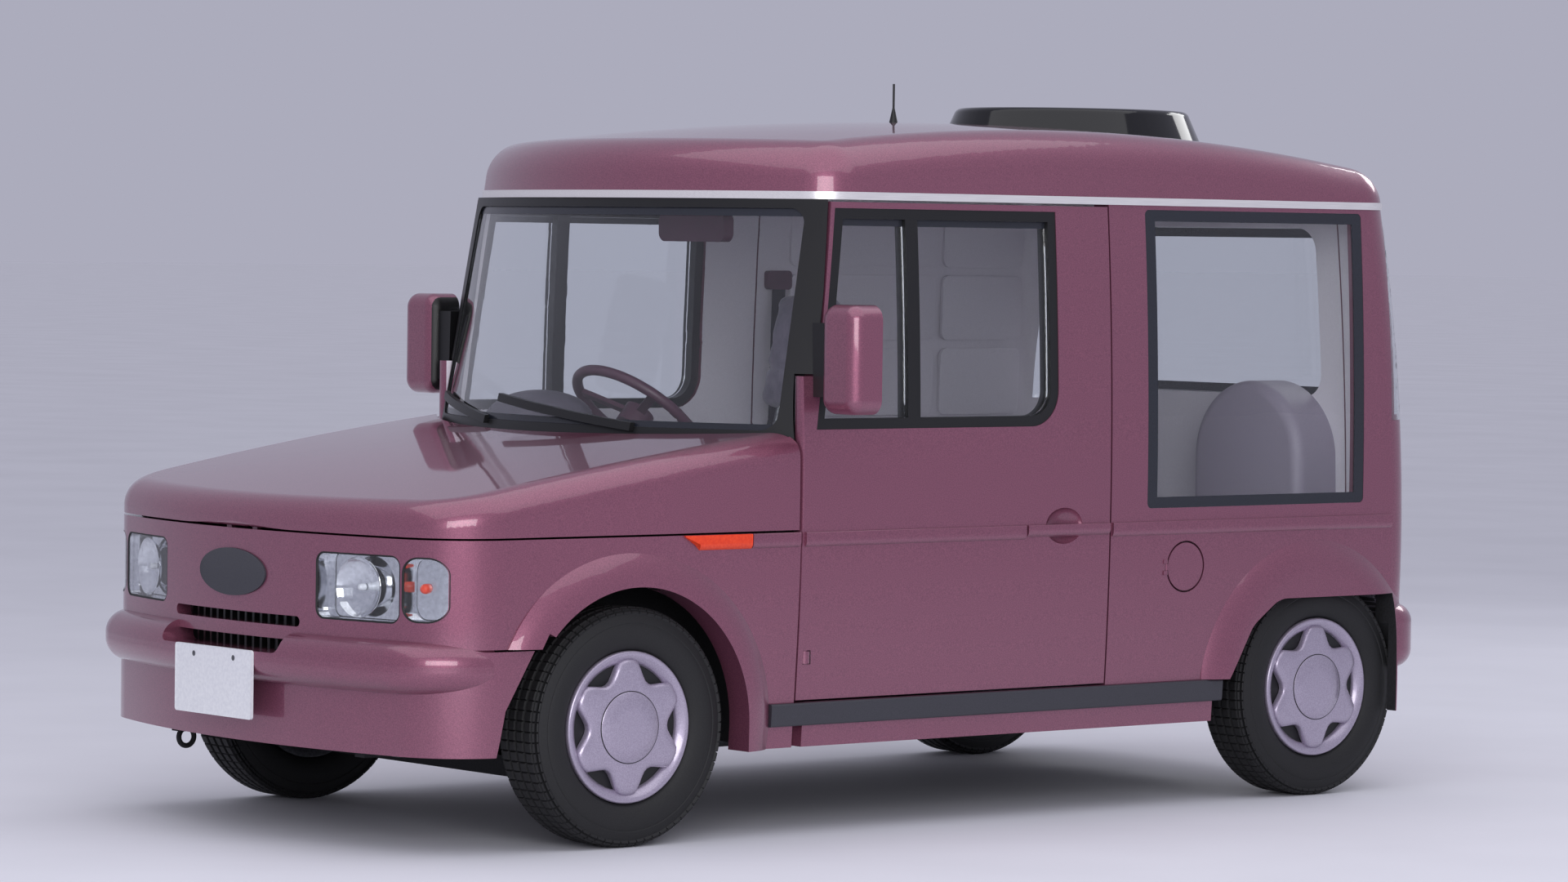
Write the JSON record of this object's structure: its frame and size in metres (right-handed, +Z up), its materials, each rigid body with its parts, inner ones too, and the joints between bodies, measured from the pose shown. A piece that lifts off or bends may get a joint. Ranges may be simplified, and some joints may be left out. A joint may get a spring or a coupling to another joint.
{
  "type": "concept car",
  "caption": "Small boxy concept car with a short bonnet, upright cabin, hat-like roof, opening doors, bonnet and tailgate, and steered front wheels.",
  "frame": {"origin": "on the ground under the middle of the car's box", "axes": "+X to the car's left, +Y to the rear, +Z up"},
  "size_m": [1.87, 3.39, 1.865],
  "materials": {
    "body_paint": "metallic mauve enamel under clear coat",
    "black_trim": "satin black moulding",
    "glass": "clear float glass",
    "lamp_glass": "ribbed clear lens",
    "red_lens": "ribbed red lens",
    "bright_trim": "bright satin strip",
    "grey_moulding": "dark grey moulding",
    "plate": "blank painted plate",
    "underbody": "black underbody paint",
    "cast_metal": "as cast",
    "steel": "dull steel",
    "cabin_plastic": "grained cabin moulding",
    "seat_cloth": "woven seat cloth",
    "wheel_cover": "lilac silver paint",
    "tyre": "black rubber"
  },
  "bodies": {
    "shell": {"floor_pan": "underbody", "engine_bay": "underbody", "wheel_tubs": "underbody", "front_panel": "body_paint", "front_lamps": "lamp_glass", "windscreen_frame": "black_trim", "windscreen": "glass", "roof": "body_paint", "roof_trim": "bright_trim", "roof_dome": "black_trim", "antenna": "black_trim", "rear_quarter_left": "body_paint", "rear_quarter_right": "body_paint", "rear_side_glass": "glass", "rear_lamps": "red_lens", "rear_panel": "body_paint", "rockers": "body_paint", "sill_mouldings": "grey_moulding", "front_bumper": "body_paint", "rear_bumper": "body_paint", "grille": "black_trim", "front_plates": "plate", "front_subframe": "underbody", "rear_axle": "underbody", "engine_block": "cast_metal", "exhaust": "steel", "fuel_tank": "underbody", "dashboard": "cabin_plastic", "front_seats": "seat_cloth", "interior_mirror": "cabin_plastic", "wipers": "black_trim"},
    "left_door": {"door_left": "body_paint", "door_frame_left": "black_trim", "door_glass_left": "glass", "mirror_left": "body_paint"},
    "right_door": {"door_right": "body_paint", "door_frame_right": "black_trim", "door_glass_right": "glass", "mirror_right": "body_paint"},
    "bonnet_lid": {"bonnet": "body_paint"},
    "rear_gate": {"tailgate": "body_paint", "tailgate_glass": "glass", "spare_cover": "cabin_plastic"},
    "filler_flap": {"fuel_flap": "body_paint"},
    "left_knuckle": {"knuckle_left": "underbody"},
    "right_knuckle": {"knuckle_right": "underbody"},
    "steering": {"steering_wheel": "cabin_plastic"},
    "front_left_wheel": {"wheel_front_left": "wheel_cover", "tyre_front_left": "tyre"},
    "front_right_wheel": {"wheel_front_right": "wheel_cover", "tyre_front_right": "tyre"},
    "rear_left_wheel": {"wheel_rear_left": "wheel_cover", "tyre_rear_left": "tyre"},
    "rear_right_wheel": {"wheel_rear_right": "wheel_cover", "tyre_rear_right": "tyre"}
  },
  "joints": [
    {"name": "left_door_swing", "type": "hinge", "parent": "shell", "child": "left_door", "pos_m": [0.738, -0.466, 0.8], "axis": [0, 0, -1], "range_deg": [0, 65]},
    {"name": "right_door_swing", "type": "hinge", "parent": "shell", "child": "right_door", "pos_m": [-0.738, -0.466, 0.8], "axis": [0, 0, 1], "range_deg": [0, 65]},
    {"name": "bonnet_tilt", "type": "hinge", "parent": "shell", "child": "bonnet_lid", "pos_m": [0, -1.63, 0.759], "axis": [1, 0, 0], "range_deg": [0, 60]},
    {"name": "tailgate_lift", "type": "hinge", "parent": "shell", "child": "rear_gate", "pos_m": [0, 1.575, 1.528], "axis": [1, 0, 0], "range_deg": [0, 85]},
    {"name": "fuel_flap_swing", "type": "hinge", "parent": "shell", "child": "filler_flap", "pos_m": [0.75371, 0.7285, 0.622], "axis": [0, 0, -1], "range_deg": [0, 100]},
    {"name": "steer_left", "type": "hinge", "parent": "shell", "child": "left_knuckle", "pos_m": [0.6, -0.995, 0.165], "axis": [-0.2014, 0, 0.9795], "range_deg": [-32, 32]},
    {"name": "steer_right", "type": "hinge", "parent": "shell", "child": "right_knuckle", "pos_m": [-0.6, -0.995, 0.165], "axis": [0.2014, 0, 0.9795], "range_deg": [-32, 32]},
    {"name": "steering_wheel_turn", "type": "hinge", "parent": "shell", "child": "steering", "pos_m": [-0.365, -0.13, 0.985], "axis": [0, 0.64, 0.7684], "range_deg": [-480, 480]},
    {"name": "front_left_roll", "type": "hinge", "parent": "left_knuckle", "child": "front_left_wheel", "pos_m": [0.66, -0.995, 0.2875], "axis": [1, 0, 0], "continuous": true},
    {"name": "front_right_roll", "type": "hinge", "parent": "right_knuckle", "child": "front_right_wheel", "pos_m": [-0.66, -0.995, 0.2875], "axis": [1, 0, 0], "continuous": true},
    {"name": "rear_left_roll", "type": "hinge", "parent": "shell", "child": "rear_left_wheel", "pos_m": [0.66, 1.305, 0.2875], "axis": [1, 0, 0], "continuous": true},
    {"name": "rear_right_roll", "type": "hinge", "parent": "shell", "child": "rear_right_wheel", "pos_m": [-0.66, 1.305, 0.2875], "axis": [1, 0, 0], "continuous": true}
  ],
  "couplings": [
    {"joint": "steer_right", "follows": "steer_left", "ratio": 1},
    {"joint": "steering_wheel_turn", "follows": "steer_left", "ratio": 15}
  ]
}
